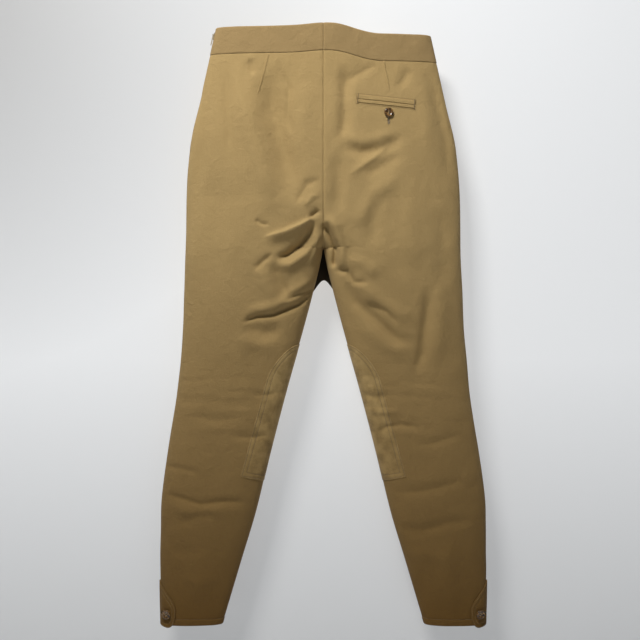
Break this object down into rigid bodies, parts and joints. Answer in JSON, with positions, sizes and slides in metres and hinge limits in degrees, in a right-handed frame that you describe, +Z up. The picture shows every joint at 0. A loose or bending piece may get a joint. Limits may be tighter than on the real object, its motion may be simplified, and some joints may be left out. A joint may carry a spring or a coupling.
{
  "type": "riding breeches",
  "caption": "Cotton twill riding breeches hanging by the waist, with knee patches, a buttoned welt pocket, a side zip and buttoned ankle tabs that open.",
  "frame": {"origin": "middle of the waist opening at the waistband's top edge", "axes": "+Z up, the wearer's front faces -Y, +X is the wearer's left"},
  "size_m": [0.5424, 0.0662, 0.9885],
  "materials": {
    "twill": "matte",
    "knee_patch": "matte",
    "lining": "matte",
    "button": "satin",
    "thread": "matte",
    "zip_tape": "matte",
    "zip_coil": "matte",
    "metal": "satin"
  },
  "bodies": {
    "garment": {"back_panel_left_seat": "twill", "back_panel_left_thigh": "twill", "back_panel_left_knee": "twill", "back_panel_left_calf": "twill", "back_panel_right_seat": "twill", "back_panel_right_thigh": "twill", "back_panel_right_knee": "twill", "back_panel_right_calf": "twill", "front_panel_left_seat": "twill", "front_panel_left_thigh": "twill", "front_panel_left_knee": "twill", "front_panel_left_calf": "twill", "front_panel_right_seat": "twill", "front_panel_right_thigh": "twill", "front_panel_right_knee": "twill", "front_panel_right_calf": "twill", "waistband_back_left": "twill", "waistband_back_right": "twill", "waistband_front_left": "twill", "waistband_front_right": "twill", "pocket_welt_upper": "twill", "pocket_welt_lower": "twill", "waistband_facing_back_left": "lining", "waistband_facing_back_right": "lining", "waistband_facing_front_left": "lining", "waistband_facing_front_right": "lining", "pocket_bag_outer": "lining", "pocket_bag_inner": "lining", "hem_facing_left": "lining", "hem_facing_right": "lining", "knee_patch_left": "knee_patch", "knee_patch_right": "knee_patch", "pocket_button_shank": "thread", "ankle_button_left_shank": "thread", "ankle_button_right_shank": "thread", "zip_tape_front": "zip_tape", "zip_tape_back": "zip_tape", "zip_coil_front": "zip_coil", "zip_coil_back": "zip_coil", "zip_stop": "metal", "waist_bar": "metal", "waist_hook": "metal"},
    "zip_slider": {"zip_slider": "metal"},
    "zip_pull": {"zip_pull": "metal"},
    "ankle_tab_left": {"ankle_tab_left": "twill"},
    "ankle_tab_right": {"ankle_tab_right": "twill"},
    "pocket_button": {"pocket_button": "button"},
    "ankle_button_left": {"ankle_button_left": "button"},
    "ankle_button_right": {"ankle_button_right": "button"}
  },
  "joints": [
    {"name": "zip_slide", "type": "slide", "parent": "garment", "child": "zip_slider", "axis": [0.2184, 0, -0.9759], "range_m": [0, 0.149]},
    {"name": "zip_pull_swing", "type": "hinge", "parent": "zip_slider", "child": "zip_pull", "pos_m": [0.1821, 0, -0.01314], "axis": [0, -1, 0], "range_deg": [0, 140]},
    {"name": "ankle_tab_left_open", "type": "hinge", "parent": "garment", "child": "ankle_tab_left", "pos_m": [0.26915, 0.0003, -0.9475], "axis": [-0.0232, 0, -0.9997], "range_deg": [0, 150], "deforming": ["ankle_tab_left"]},
    {"name": "ankle_tab_right_open", "type": "hinge", "parent": "garment", "child": "ankle_tab_right", "pos_m": [-0.26915, 0.0003, -0.9475], "axis": [-0.0232, 0, 0.9997], "range_deg": [0, 150], "deforming": ["ankle_tab_right"]},
    {"name": "pocket_button_turn", "type": "hinge", "parent": "garment", "child": "pocket_button", "pos_m": [-0.10611, 0.02844, -0.14732], "axis": [-0.0532, 0.9947, 0.088], "range_deg": [-45, 45]},
    {"name": "ankle_button_left_turn", "type": "hinge", "parent": "garment", "child": "ankle_button_left", "pos_m": [0.25607, 0.01528, -0.96505], "axis": [0.3262, 0.945, -0.0227], "range_deg": [-45, 45]},
    {"name": "ankle_button_right_turn", "type": "hinge", "parent": "garment", "child": "ankle_button_right", "pos_m": [-0.25607, 0.01528, -0.96505], "axis": [-0.3262, 0.945, -0.0227], "range_deg": [-45, 45]}
  ]
}
